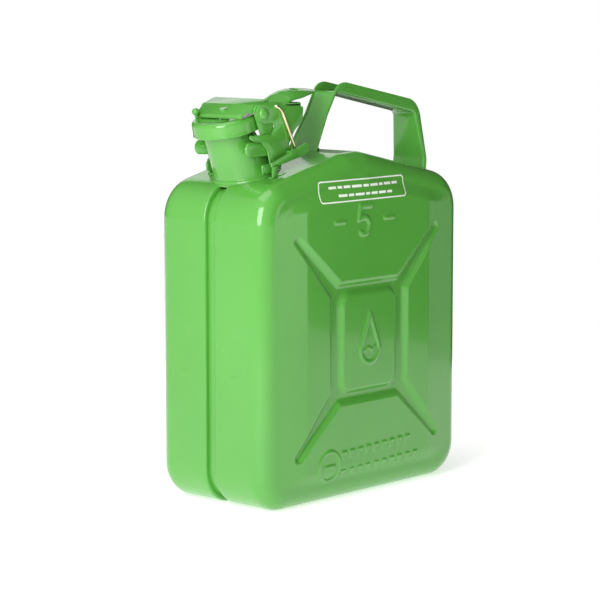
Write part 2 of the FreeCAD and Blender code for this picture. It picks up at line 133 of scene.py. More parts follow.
def rounded(corners, steps=6):
    """Outline with an arc at each (x, z, radius) corner."""
    out = []
    count = len(corners)
    for i, (x, z, radius) in enumerate(corners):
        here = np.array([x, z], float)
        back = np.array(corners[i - 1][:2], float) - here
        ahead = np.array(corners[(i + 1) % count][:2], float) - here
        back_length, ahead_length = np.hypot(*back), np.hypot(*ahead)
        back, ahead = back / back_length, ahead / ahead_length
        half = math.acos(float(np.clip(back @ ahead, -1, 1))) / 2
        if radius <= 0 or half > NEARLY_STRAIGHT:
            out.append(tuple(here))
            continue
        reach = min(radius / math.tan(half), 0.48 * min(back_length, ahead_length))
        true_radius = reach * math.tan(half)
        middle = here + (back + ahead) / np.hypot(*(back + ahead)) * true_radius / math.sin(half)
        start, end = here + back * reach - middle, here + ahead * reach - middle
        first = math.atan2(start[1], start[0])
        sweep = (math.atan2(end[1], end[0]) - first + math.pi) % (2 * math.pi) - math.pi
        out += arc_points(*middle, true_radius, math.degrees(first), math.degrees(first + sweep), steps)
    return out


def subdivided(points, longest, closed):
    """Points with long segments split."""
    out = []
    pairs = list(zip(points, points[1:] + points[:1])) if closed else list(zip(points[:-1], points[1:]))
    for p, q in pairs:
        steps = max(1, math.ceil(math.dist(p, q) / longest))
        out += [tuple(a + (b - a) * k / steps for a, b in zip(p, q)) for k in range(steps)]
    if not closed:
        out.append(tuple(points[-1]))
    return out


def soft_path(points, radii, steps=8):
    """3D route with its inner corners rounded by the given reaches."""
    pts = [Vector(p) for p in points]
    out = [pts[0]]
    for i in range(1, len(pts) - 1):
        reach = radii[i - 1]
        start = pts[i] + (pts[i - 1] - pts[i]).normalized() * reach
        end = pts[i] + (pts[i + 1] - pts[i]).normalized() * reach
        for k in range(steps + 1):
            t = k / steps
            out.append(start * (1 - t) ** 2 + pts[i] * 2 * t * (1 - t) + end * t * t)
    out.append(pts[-1])
    return out


# ---------------------------------------------------------------- mesh helpers

def make_object(name, verts, faces, material, body, slot, replaced=(), smooth_angle=35.0):
    mesh = bpy.data.meshes.new(name)
    mesh.from_pydata([tuple(v) for v in verts], [], [tuple(f) for f in faces])
    mesh.validate()
    obj = bpy.data.objects.new(name, mesh)
    bpy.context.scene.collection.objects.link(obj)
    finish_object(obj, material, body, replaced, smooth_angle)
    return obj


def finish_object(obj, material, body, replaced=(), smooth_angle=35.0):
    mesh = obj.data
    bm = bmesh.new()
    bm.from_mesh(mesh)
    bmesh.ops.recalc_face_normals(bm, faces=bm.faces)
    limit = math.radians(smooth_angle)
    for face in bm.faces:
        face.smooth = True
    for edge in bm.edges:
        if len(edge.link_faces) == 2 and edge.calc_face_angle(0) > limit:
            edge.smooth = False
    bm.to_mesh(mesh)
    bm.free()
    mesh.materials.clear()
    mesh.materials.append(material)
    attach(obj, body)
    if replaced:
        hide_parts(*replaced)


def shifted(points):
    """Body-frame millimetres to scene metres."""
    return [((p[0] + MID_X) * MM, p[1] * MM, p[2] * MM) for p in points]


def bevelled(verts, faces, offset, segments):
    """Verts and faces with their sharp edges rounded."""
    limit = math.radians(40.0)
    bm = bmesh.new()
    made = [bm.verts.new(v) for v in verts]
    for face in faces:
        bm.faces.new([made[i] for i in face])
    bmesh.ops.recalc_face_normals(bm, faces=bm.faces)
    sharp = [e for e in bm.edges if len(e.link_faces) == 2 and e.calc_face_angle(0) > limit]
    bmesh.ops.bevel(bm, geom=sharp, offset=offset * MM, segments=segments, profile=0.5, affect="EDGES",
                    clamp_overlap=True)
    bm.verts.index_update()
    out = [v.co.copy() for v in bm.verts], [[v.index for v in f.verts] for f in bm.faces]
    bm.free()
    return out


def prism(outline, y0, y1, bevel=0.35, segments=2):
    """Plate from an XZ outline between two Y planes, with rounded rims."""
    n = len(outline)
    verts = shifted([(x, y0, z) for x, z in outline] + [(x, y1, z) for x, z in outline])
    faces = [list(range(n)), list(range(2 * n - 1, n - 1, -1))]
    faces += [[i, (i + 1) % n, n + (i + 1) % n, n + i] for i in range(n)]
    return bevelled(verts, faces, bevel, segments)


def flipped(shape):
    """The same shape on the other side of the can."""
    verts, faces = shape
    return [Vector((v[0], -v[1], v[2])) for v in verts], [list(reversed(f)) for f in faces]


def joined(*shapes):
    verts, faces = [], []
    for part_verts, part_faces in shapes:
        start = len(verts)
        verts += list(part_verts)
        faces += [[start + i for i in f] for f in part_faces]
    return verts, faces


def tube(points, radius, sides=16):
    """Round bar along body-frame points, with rounded ends."""
    pts = [Vector(p) for p in points]
    first = (pts[1] - pts[0]).normalized()
    last = (pts[-1] - pts[-2]).normalized()
    stations = [(pts[0] - first * radius * 0.7, 0.35), (pts[0] - first * radius * 0.4, 0.8)]
    stations += [(p, 1.0) for p in pts]
    stations += [(pts[-1] + last * radius * 0.4, 0.8), (pts[-1] + last * radius * 0.7, 0.35)]
    centres = [c for c, _ in stations]
    side = first.orthogonal().normalized()
    verts, faces = [], []
    for i, (centre, scale) in enumerate(stations):
        tangent = (centres[min(i + 1, len(centres) - 1)] - centres[max(i - 1, 0)]).normalized()
        side = (side - tangent * side.dot(tangent)).normalized()
        other = tangent.cross(side)
        for k in range(sides):
            a = 2 * math.pi * k / sides
            verts.append(centre + (side * math.cos(a) + other * math.sin(a)) * radius * scale)
    for i in range(len(stations) - 1):
        for k in range(sides):
            a, b = i * sides + k, i * sides + (k + 1) % sides
            faces.append([a, b, b + sides, a + sides])
    faces.append(list(range(sides))[::-1])
    faces.append(list(range((len(stations) - 1) * sides, len(stations) * sides)))
    return [Vector(v) for v in shifted(verts)], faces


def rings_mesh(rings, sides=96):
    """Skin over rings given as (centre, normal, radius) in the body frame."""
    verts, faces = [], []
    for centre, normal, radius in rings:
        normal = Vector(normal).normalized()
        back = Vector((normal.z, 0, -normal.x))
        for k in range(sides):
            a = 2 * math.pi * k / sides
            verts.append(Vector(centre) + (back * math.cos(a) + Vector((0, 1, 0)) * math.sin(a)) * radius)
    for i in range(len(rings) - 1):
        for k in range(sides):
            a, b = i * sides + k, i * sides + (k + 1) % sides
            faces.append([a, b, b + sides, a + sides])
    return [Vector(v) for v in shifted(verts)], faces


def lathe(profile, origin, axis, sides=96):
    """Turned shape from (radius, height) pairs about an axis in the XZ plane."""
    axis = Vector(axis).normalized()
    return rings_mesh([(Vector(origin) + axis * h, axis, max(r, 0.01)) for r, h in profile], sides)


# ---------------------------------------------------------------- materials

def node_material(name):
    material = bpy.data.materials.new(name)
    material.use_nodes = True
    tree = material.node_tree
    tree.nodes.clear()
    out = tree.nodes.new("ShaderNodeOutputMaterial")
    shader = tree.nodes.new("ShaderNodeBsdfPrincipled")
    tree.links.new(shader.outputs["BSDF"], out.inputs["Surface"])
    coords = tree.nodes.new("ShaderNodeTexCoord")
    return material, tree, shader, coords.outputs["Object"]


def noise(tree, coords, scale, detail=3.0, roughness=0.5):
    node = tree.nodes.new("ShaderNodeTexNoise")
    node.inputs["Scale"].default_value = scale
    node.inputs["Detail"].default_value = detail
    node.inputs["Roughness"].default_value = roughness
    tree.links.new(coords, node.inputs["Vector"])
    return node.outputs["Fac"]


def levels(tree, value, low, high, out_low, out_high):
    node = tree.nodes.new("ShaderNodeMapRange")
    node.inputs["From Min"].default_value = low
    node.inputs["From Max"].default_value = high
    node.inputs["To Min"].default_value = out_low
    node.inputs["To Max"].default_value = out_high
    tree.links.new(value, node.inputs["Value"])
    return node.outputs["Result"]


def mix_colour(tree, factor, a, b):
    node = tree.nodes.new("ShaderNodeMix")
    node.data_type = "RGBA"
    tree.links.new(factor, node.inputs["Factor"])
    node.inputs["A"].default_value = a
    node.inputs["B"].default_value = b
    return node.outputs["Result"]


def bump(tree, shader, height, distance, strength=1.0, below=None):
    node = tree.nodes.new("ShaderNodeBump")
    node.inputs["Strength"].default_value = strength
    node.inputs["Distance"].default_value = distance
    tree.links.new(height, node.inputs["Height"])
    if below is not None:
        tree.links.new(below, node.inputs["Normal"])
    tree.links.new(node.outputs["Normal"], shader.inputs["Normal"])
    return node.outputs["Normal"]


def enamel_material():
    """Bright green gloss enamel: orange peel, faint scuffs and slight colour drift."""
    material, tree, shader, coords = node_material("green_enamel")
    drift = levels(tree, noise(tree, coords, 9.0, 2.0), 0.35, 0.65, 0.0, 1.0)
    tree.links.new(mix_colour(tree, drift, (0.084, 0.345, 0.044, 1), (0.094, 0.370, 0.050, 1)),
                   shader.inputs["Base Color"])
    scuffs = noise(tree, coords, 60.0, 6.0, 0.65)
    tree.links.new(levels(tree, scuffs, 0.3, 0.75, 0.12, 0.22), shader.inputs["Roughness"])
    peel = bump(tree, shader, noise(tree, coords, 330.0, 2.0), 0.00006, 0.3)
    bump(tree, shader, noise(tree, coords, 26.0, 2.0), 0.0004, 0.4, below=peel)
    shader.inputs["IOR"].default_value = 1.5
    shader.inputs["Coat Weight"].default_value = 0.4
    shader.inputs["Coat Roughness"].default_value = 0.05
    return material


def rubber_material():
    material, tree, shader, coords = node_material("black_rubber")
    speck = levels(tree, noise(tree, coords, 700.0, 4.0, 0.7), 0.35, 0.7, 0.0, 1.0)
    tree.links.new(mix_colour(tree, speck, (0.014, 0.014, 0.015, 1), (0.03, 0.03, 0.031, 1)),
                   shader.inputs["Base Color"])
    tree.links.new(levels(tree, speck, 0, 1, 0.55, 0.75), shader.inputs["Roughness"])
    bump(tree, shader, noise(tree, coords, 900.0, 3.0), 0.0001, 0.5)
    return material


def zinc_material():
    """Yellow passivated zinc wire with faint draw lines."""
    material, tree, shader, coords = node_material("yellow_zinc")
    tint = levels(tree, noise(tree, coords, 160.0, 4.0, 0.6), 0.35, 0.65, 0.0, 1.0)
    tree.links.new(mix_colour(tree, tint, (0.88, 0.70, 0.40, 1), (0.93, 0.80, 0.58, 1)),
                   shader.inputs["Base Color"])
    shader.inputs["Metallic"].default_value = 1.0
    tree.links.new(levels(tree, noise(tree, coords, 900.0, 3.0), 0.3, 0.7, 0.2, 0.36),
                   shader.inputs["Roughness"])
    bump(tree, shader, noise(tree, coords, 1200.0, 3.0), 0.00004, 0.5)
    return material


def steel_material():
    material, tree, shader, coords = node_material("bare_steel")
    stain = levels(tree, noise(tree, coords, 50.0, 5.0, 0.6), 0.35, 0.7, 0.0, 1.0)
    tree.links.new(mix_colour(tree, stain, (0.56, 0.57, 0.58, 1), (0.42, 0.41, 0.40, 1)),
                   shader.inputs["Base Color"])
    shader.inputs["Metallic"].default_value = 1.0
    tree.links.new(levels(tree, stain, 0, 1, 0.28, 0.5), shader.inputs["Roughness"])
    bump(tree, shader, noise(tree, coords, 600.0, 3.0), 0.00005, 0.6)
    return material


def print_material():
    """Pale screen print: thin ink with a little pinholing."""
    material, tree, shader, coords = node_material("white_print")
    holes = levels(tree, noise(tree, coords, 900.0, 3.0, 0.7), 0.58, 0.70, 0.0, 1.0)
    tree.links.new(mix_colour(tree, holes, (0.90, 0.96, 0.86, 1), (0.50, 0.72, 0.42, 1)),
                   shader.inputs["Base Color"])
    tree.links.new(levels(tree, holes, 0, 1, 0.32, 0.5), shader.inputs["Roughness"])
    bump(tree, shader, noise(tree, coords, 800.0, 2.0), 0.00003, 0.5)
    return material


ENAMEL = enamel_material()
RUBBER = rubber_material()
ZINC = zinc_material()
STEEL = steel_material()
PRINT = print_material()


# ---------------------------------------------------------------- the pressed half

def corner_arcs():
    """Centre, radius and start and end normal angle of each rounded corner, anticlockwise."""
    side = HALF_LENGTH
    apex_right, apex_left = (2.0, APEX_Z + 0.1), (-18.0, APEX_Z - 1.1)
    corners = [(-side, 0.0, BOTTOM_CORNER), (side, 0.0, BOTTOM_CORNER), (side, SHOULDER_Z, TOP_CORNER),
               (*apex_right, APEX_RADIUS), (*apex_left, APEX_RADIUS), (-side, SHOULDER_Z, TOP_CORNER)]
    arcs = []
    count = len(corners)
    for i, (x, z, radius) in enumerate(corners):
        before, after = corners[i - 1], corners[(i + 1) % count]
        into = math.atan2(z - before[1], x - before[0])
        away = math.atan2(after[1] - z, after[0] - x)
        start, end = into - math.pi / 2, away - math.pi / 2
        while end < start:
            end += 2 * math.pi
        half = (end - start) / 2
        reach = radius / math.cos(half)
        middle = (start + end) / 2
        arcs.append((x - reach * math.cos(middle), z - reach * math.sin(middle), radius, start, end))
    return arcs


def dense_outline():
    """Points, outward normals and running length round the outer outline."""
    points, normals = [], []
    for cx, cz, radius, start, end in corner_arcs():
        for a in np.linspace(start, end, ARC_POINTS):
            normal = (math.cos(a), math.sin(a))
            points.append((cx + radius * normal[0], cz + radius * normal[1]))
            normals.append(normal)
    points.append(points[0])
    normals.append(normals[0])
    points, normals = np.array(points), np.array(normals)
    length = np.concatenate([[0], np.cumsum(np.hypot(*np.diff(points, axis=0).T))])
    return points, normals, length


def outline_loop(across, up):
    """Loop of outer points and normals, with its four patch corners half way round the main corners."""
    points, normals, length = dense_outline()
    marks = [length[int(ARC_POINTS * arc)] for arc in (0.5, 1.5, 2.5, 5.5)]
    spans = [(marks[0], marks[1], across), (marks[1], marks[2], up), (marks[2], marks[3], across),
             (marks[3], marks[0] + length[-1], up)]
    where = np.concatenate([np.linspace(a, b, n, endpoint=False) for a, b, n in spans])
    where = np.mod(where, length[-1])
    loop = np.stack([np.interp(where, length, points[:, k]) for k in (0, 1)], -1)
    normal = np.stack([np.interp(where, length, normals[:, k]) for k in (0, 1)], -1)
    return loop, normal / np.linalg.norm(normal, axis=1)[:, None]


def roof_z(x):
    """Height of the sloping roof over x."""
    return SHOULDER_Z + 0.22 * (HALF_LENGTH - np.abs(x))


def dome_y(x, z):
    """Flat middle panel with a slanted facet each side, eased back at top and bottom."""
    fall = ramp(np.abs(x), CREASE_X, 2.4)
    run = HALF_LENGTH - EDGE_RADIUS - CREASE_X
    across = np.clip(1.0 - fall / run, 0.0, 1.0)
    below_roof = roof_z(x) - EDGE_RADIUS - z
    upright = smooth((z - EDGE_RADIUS) / 13.0) * smooth(below_roof / 13.0)
    return EDGE_Y + (FACE_Y - EDGE_Y) * across * upright


def cross_mask(x, z):
    """1 on the floor of the pressed cross and square frame, 0 on the faces round them."""
    zc = z - FRAME_MID
    outer = smooth(-rect_distance(x, zc, FRAME_HALF, FRAME_TALL, 9.0) / SLOPE)
    pad = smooth(rect_distance(x, zc, PAD_HALF, PAD_TALL, 7.0) / SLOPE)
    mask = np.minimum(outer, pad)
    tall = (CROSS_HIGH - CROSS_LOW) / 2
    tip = np.array([CROSS_X - 3.2, tall - 3.2])
    joint = np.array([FRAME_HALF - 10.5, FRAME_TALL - 10.0])
    along = joint - tip
    reach = np.hypot(*along)
    along = along / reach
    ax, az = np.abs(x) - tip[0], np.abs(zc) - tip[1]
    s = ax * along[0] + az * along[1]
    off = np.abs(ax * -along[1] + az * along[0])
    off = np.where(s < 0, np.hypot(off, s), off)
    width = 4.6 + 4.6 * np.clip(s / reach, 0.0, 1.0)
    arm = smooth((width - off) / np.minimum(width, SLOPE))
    arm = np.where(s < reach, arm, 0.0)
    return np.maximum(mask, arm * pad)


def raised(distance, half_width, height, slope=0.7):
    return height * smooth((half_width - distance) / slope + 0.5)


def numeral_five(cx, cz, tall):
    """Strokes of a plain numeral 5."""
    w = tall * 0.34
    top, mid = cz + tall / 2, cz + tall * 0.08
    bowl = arc_points(cx - w * 0.15, cz - tall * 0.20, tall * 0.30, 112, -128, 14)
    return [(cx + w, top), (cx - w * 0.75, top), (cx - w * 0.95, mid - 1.2)] + bowl


def face_marks(x, z):
    """Raised marks of one face: number, dashes, droplet, ring and two rows of angle marks."""
    five = stroke_distance(x, z, numeral_five(NUMERAL_X, NUMERAL_Z, NUMERAL_TALL))
    height = raised(five, 1.7, MARK_HEIGHT)
    for cx in DASH_CENTRES:
        dash = stroke_distance(x, z, [(cx - DASH_HALF, NUMERAL_Z), (cx + DASH_HALF, NUMERAL_Z)])
        height = np.maximum(height, raised(dash, 1.4, LOW_MARK))
    drop = [(0.0, DROP_TIP_Z)] + arc_points(0.0, DROP_Z, DROP_R, 155, 385, 20) + [(0.0, DROP_TIP_Z)]
    height = np.maximum(height, raised(stroke_distance(x, z, drop), 1.5, MARK_HEIGHT))
    wave = [(-6.0, 111.0), (-2.0, 113.4), (2.0, 111.0), (6.0, 113.4)]
    height = np.maximum(height, raised(stroke_distance(x, z, wave), 1.0, LOW_MARK))
    ring = np.abs(np.hypot(x - RING_X, z - RING_Z) - RING_R)
    height = np.maximum(height, raised(ring, 1.2, 0.9))
    ring_dash = [(RING_X - RING_DASH_HALF, RING_Z), (RING_X + RING_DASH_HALF, RING_Z)]
    height = np.maximum(height, raised(stroke_distance(x, z, ring_dash), 1.2, LOW_MARK))
    for row_z, start, count in ANGLE_ROWS:
        for i in range(count):
            cx = start + i * ANGLE_STEP
            rise = row_z + ANGLE_RISE * (cx - start)
            low, high = rise - ANGLE_REACH, rise + ANGLE_REACH
            angle = [(cx - ANGLE_REACH, low), (cx - ANGLE_REACH, high), (cx + ANGLE_REACH, high)]
            height = np.maximum(height, raised(stroke_distance(x, z, angle), 1.1, LOW_MARK))
    return height


def face_y(x, z, sign):
    """How far the face stands out at x and z; the far face's marks read from its own side."""
    dome = dome_y(x, z)
    mask = cross_mask(x, z)
    floor = np.minimum(dome, FLOOR_Y)
    y = dome + (floor - dome) * mask
    return np.minimum(y + face_marks(-sign * x, z), PANEL_Y)


def patch_points(loop, across, up):
    """Coons patch inside a closed loop, as an (across + 1) by (up + 1) grid of points."""
    n = len(loop)
    bottom = loop[0:across + 1]
    right = loop[across:across + up + 1]
    top = loop[across + up:2 * across + up + 1][::-1]
    left = np.concatenate([loop[2 * across + up:n], loop[:1]])[::-1]
    u = np.linspace(0, 1, across + 1)[:, None, None]
    v = np.linspace(0, 1, up + 1)[None, :, None]
    sides = (1 - v) * bottom[:, None] + v * top[:, None] + (1 - u) * left[None] + u * right[None]
    corners = ((1 - u) * (1 - v) * bottom[0] + u * (1 - v) * bottom[-1]
               + (1 - u) * v * top[0] + u * v * top[-1])
    return sides - corners


def half_profile():
    """Inset and y of each ring from the fillet's inner edge, over the side, into the seam channel."""
    side_y = EDGE_Y - EDGE_RADIUS
    rings = []
    for i in range(1, FILLET_STEPS + 1):
        a = math.pi / 2 * i / FILLET_STEPS
        rings.append((EDGE_RADIUS * (1 - math.sin(a)), side_y + EDGE_RADIUS * math.cos(a)))
    lip = 1.8
    for y in np.linspace(side_y, SEAM_HALF + lip, 12)[1:]:
        rings.append((0.0, float(y)))
    for i in range(1, LIP_STEPS + 1):
        a = math.pi / 2 * i / LIP_STEPS
        rings.append((lip * (1 - math.cos(a)), SEAM_HALF + lip * (1 - math.sin(a))))
    rings.append((SEAM_DEPTH * 0.7, SEAM_HALF))
    rings.append((SEAM_DEPTH + 0.6, SEAM_HALF))
    return rings


def side_mark(y, z):
    """A small upright pressed mark on the spout end of each half."""
    rib = stroke_distance(np.array([y]), np.array([z]), [(26.0, 102.0), (26.0, 132.0)])[0]
    return float(raised(rib, 1.6, 0.5, 1.2))


def build_half(name, sign, node, across, up):
    """One pressed half: face patch, edge fillet, side wall and rolled seam edge."""
    loop, normal = outline_loop(across, up)
    inner = loop - normal * EDGE_RADIUS
    grid = patch_points(inner, across, up)
    x, z = grid[..., 0], grid[..., 1]
    y = face_y(x, z, sign)
    verts = np.stack([x, y, z], -1).reshape(-1, 3)
    cells = np.arange((across + 1) * (up + 1)).reshape(across + 1, up + 1)
    quads = np.stack([cells[:-1, :-1], cells[1:, :-1], cells[1:, 1:], cells[:-1, 1:]], -1).reshape(-1, 4)
    rim = np.concatenate([cells[:-1, 0], cells[-1, :-1], cells[::-1, -1][:-1], cells[0, ::-1][:-1]])
    parts, faces = [verts], [quads]
    count = len(verts)
    previous = rim
    n = len(loop)
    for inset, ring_y in half_profile():
        ring = loop - normal * inset
        ring3 = np.stack([ring[:, 0], np.full(n, ring_y), ring[:, 1]], -1)
        if inset == 0.0:
            for k in np.nonzero(normal[:, 0] < -0.99)[0]:
                ring3[k, 0] += side_mark(ring_y, ring3[k, 2])
        here = count + np.arange(n)
        count += n
        faces.append(np.stack([previous, np.roll(previous, -1), np.roll(here, -1), here], -1))
        parts.append(ring3)
        previous = here
    verts = np.concatenate(parts)
    verts[:, 0] += MID_X
    verts[:, 1] *= sign
    verts *= MM
    faces = np.concatenate(faces)
    return make_object(name, verts, faces, ENAMEL, "can", "enamel", (node,), 60.0)


def cut_roof_hole(obj):
    """Opens the roof under the neck, just inside the weld."""
    low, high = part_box("neck_weld")
    centre = Vector(((low[0] + high[0]) / 2, 0.0, (low[2] + high[2]) / 2))
    radius = (high[1] - low[1]) / 2 - 4.0 * MM
    bm = bmesh.new()
    bm.from_mesh(obj.data)
    doomed = [f for f in bm.faces if f.calc_center_median().z > low[2] - 0.004
              and math.hypot(f.calc_center_median().x - centre.x, f.calc_center_median().y) < radius]
    bmesh.ops.delete(bm, geom=doomed, context="FACES")
    bm.to_mesh(obj.data)
    bm.free()


def thicken(obj, thickness):
    """Gives a pressed sheet its thickness in millimetres, inwards."""
    shell = obj.modifiers.new("sheet", "SOLIDIFY")
    shell.thickness = thickness * MM
    shell.offset = -1.0


def build_body():
    """Both pressed halves; returns the near one, which carries the label."""
    near = build_half("pressed_half_near", -1, "body_half_near", 290, 340)
    far = build_half("pressed_half_far", 1, "body_half_far", 220, 260)
    for half in (near, far):
        cut_roof_hole(half)
        thicken(half, BODY_SHEET)
    return near


# ---------------------------------------------------------------- label print

def lay_on(tree, x, z, lift):
    """Point just proud of the near face at x and z, in metres."""
    hit, normal, _, _ = tree.ray_cast(Vector((x * MM, -0.2, z * MM)), Vector((0, 1, 0)))
    return hit + normal * lift * MM


def add_ribbon(tree, verts, faces, points, half_width, closed):
    """Thin ribbon along points (x, z in millimetres), laid on the face."""
    pts = np.array(points)
    ahead = np.roll(pts, -1, 0) if closed else np.vstack([pts[1:], pts[-1:]])
    behind = np.roll(pts, 1, 0) if closed else np.vstack([pts[:1], pts[:-1]])
    tangent = ahead - behind
    tangent /= np.linalg.norm(tangent, axis=1)[:, None]
    side = np.stack([-tangent[:, 1], tangent[:, 0]], -1) * half_width
    start = len(verts)
    for p, offset in zip(pts, side):
        for q in (p - offset, p + offset):
            verts.append(lay_on(tree, q[0], q[1], LABEL_LIFT))
    n = len(pts)
    for i in range(n if closed else n - 1):
        a, b = start + 2 * i, start + 2 * ((i + 1) % n)
        faces.append((a, b, b + 1, a + 1))


def build_label(near_half):
    """Printed outline and two rows of plain bars that follow the face."""
    low, high = [[v / MM for v in corner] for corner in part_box("label")]
    cx, cz = (low[0] + high[0]) / 2, (low[2] + high[2]) / 2
    half_x = (high[0] - low[0]) / 2 - LABEL_MARGIN
    half_z = (high[2] - low[2]) / 2 - LABEL_MARGIN
    bm = bmesh.new()
    bm.from_mesh(near_half.data)
    tree = BVHTree.FromBMesh(bm)
    bm.free()
    verts, faces = [], []
    corners = [(cx + sx * half_x, cz + sz * half_z, LABEL_CORNER)
               for sx, sz in ((-1, -1), (1, -1), (1, 1), (-1, 1))]
    add_ribbon(tree, verts, faces, subdivided(rounded(corners, 8), 2.0, True), FRAME_LINE, True)
    rows = ((cz + 2.9, (7, 4, 6, 9, 5, 8, 4, 7, 6)), (cz - 3.2, (8, 5, 9, 4, 6, 7, 5)))
    for row_z, words in rows:
        x = cx + 1.5 - (sum(words) * BAR_UNIT + BAR_GAP * (len(words) - 1)) / 2
        for word in words:
            bar = subdivided([(x, row_z), (x + word * BAR_UNIT, row_z)], 2.0, False)
            add_ribbon(tree, verts, faces, bar, BAR_LINE, False)
            x += word * BAR_UNIT + BAR_GAP
    make_object("printed_label", verts, faces, PRINT, "can", "label_vinyl", ("label",))


build_label(build_body())


# ---------------------------------------------------------------- closure

# Sizes and places in body-frame millimetres, as in the CAD model
CAP_TILT = math.radians(13.0)
CAP_UP = Vector((-math.sin(CAP_TILT), 0, math.cos(CAP_TILT)))
CAP_BACK = Vector((math.cos(CAP_TILT), 0, math.sin(CAP_TILT)))
CAP_BASE = Vector((-93.75, 0, 277.4))
NECK_RIM_HEIGHT = 7.7
NECK_TOP_R, NECK_FOOT_R, NECK_WALL = 18.0, 24.0, 1.3
ROOF_UP = Vector((-0.22, 0, 1)).normalized()
NECK_FOOT = Vector((-73.0, 0, 244.3))
CHEEK_IN, CHEEK_OUT = 27.4, 28.8
RIVET = (-85.5, 291.0)
WIRE_Y = 30.1
BAR_IN, BAR_OUT = 31.5, 33.3
LIP_R = 0.9
MOUTH_STRAIGHT = 6.0
LUG_FRONT, LUG_REAR, LUG_LOW, LUG_HIGH, LUG_ROUND = -101.5, -68.0, 259.6, 270.4, 5.4
YOKE_SHEET = 1.2
LEVER_OUT, LEVER_IN = 26.9, 25.5
ROOT_LOW, ROOT_HIGH = 295.6, 297.0
CROWN_FOOT, CROWN_HALF, CROWN_ARCH = 295.9, 14.0, 14.5
CROWN_SHEET = 1.3
HOLE_X, HOLE_Y, HOLE_R = -25.0, -3.6, 3.6
WIRE_LOOK_R = 1.2


def on_cap(back, y, up):
    """Point in the cap's own tilted frame."""
    return CAP_BASE + CAP_BACK * back + Vector((0, y, 0)) + CAP_UP * up


def build_neck():
    """Oblique neck with a flared foot, a rolled lip and its inner wall."""
    rim = on_cap(0, 0, NECK_RIM_HEIGHT)
    waist = rim - CAP_UP * MOUTH_STRAIGHT
    outer = []
    for t in np.linspace(-0.05, 1.0, 30):
        centre = NECK_FOOT.lerp(waist, float(t)) if t > 0 else NECK_FOOT + ROOF_UP * float(t) * 40
        normal = ROOF_UP.lerp(CAP_UP, max(float(t), 0.0))
        radius = NECK_FOOT_R + (NECK_TOP_R - NECK_FOOT_R) * max(float(t), 0.0)
        outer.append((centre, normal, radius + 2.2 * math.exp(-max(float(t), 0.0) / 0.05)))
    lip = []
    for a in np.linspace(-80, 100, 9):
        turn = math.radians(float(a))
        drop = LIP_R - LIP_R * math.sin(turn)
        lip.append((rim - CAP_UP * drop, CAP_UP, NECK_TOP_R - 0.2 + LIP_R * math.cos(turn)))
    inner = [(rim - CAP_UP * 1.2, CAP_UP, NECK_TOP_R - NECK_WALL), (waist, CAP_UP, NECK_TOP_R - NECK_WALL)]
    inner.append((NECK_FOOT, ROOF_UP, NECK_FOOT_R - NECK_WALL))
    inner.append((NECK_FOOT - ROOF_UP * 2, ROOF_UP, NECK_FOOT_R - NECK_WALL))
    make_object("oblique_neck", *rings_mesh(outer + lip + inner), ENAMEL, "can", "enamel", ("neck",), 50)


def lug_shape():
    """Stadium lug on the near side, its front end tapered back to the neck."""
    corners = ((LUG_FRONT, LUG_LOW), (LUG_REAR, LUG_LOW), (LUG_REAR, LUG_HIGH), (LUG_FRONT, LUG_HIGH))
    outline = rounded([(x, z, LUG_ROUND) for x, z in corners], 9)
    verts, faces = prism(outline, -26.9, -14.0, 1.6, 3)
    moved = []
    for v in verts:
        depth = max(0.0, v.y / MM + 23.0)
        front = min(max((-80.0 - (v.x / MM - MID_X)) / 20.0, 0.0), 1.0)
        moved.append(Vector((v.x + depth * 1.5 * front * MM, v.y, v.z)))
    return moved, faces


def build_lugs():
    near = lug_shape()
    make_object("lug_near", *near, ENAMEL, "can", "enamel", ("neck_lug_near",))
    make_object("lug_far", *flipped(near), ENAMEL, "can", "enamel", ("neck_lug_far",))


def build_cap():
    """Pressed cap: rolled skirt, rounded shoulder and a shallow ring in its top."""
    profile = [(23.7, 9.0), (23.7, 0.5), (24.0, 0.1), (24.5, 0.0), (24.9, 0.35), (25.0, 0.9),
               (24.75, 1.7), (24.7, 3.0), (24.75, 8.0)]
    for a in np.linspace(0, 90, 8):
        turn = math.radians(float(a))
        profile.append((21.75 + 3.0 * math.cos(turn), 8.6 + 3.0 * math.sin(turn)))
    profile += [(19.6, 11.6), (18.8, 11.3), (17.9, 11.1), (12.0, 11.1), (0.0, 11.1)]
    make_object("pressed_cap", *lathe(profile, CAP_BASE, CAP_UP), ENAMEL, "lid", "enamel", ("cap",), 50)


def cap_plate(profile, y0, y1, bevel):
    """Side plate from a (back, up, radius) profile in the cap's frame."""
    outline = [(on_cap(u, 0, w).x, on_cap(u, 0, w).z, r) for u, w, r in profile]
    return prism(rounded(outline, 6), y0, y1, bevel)


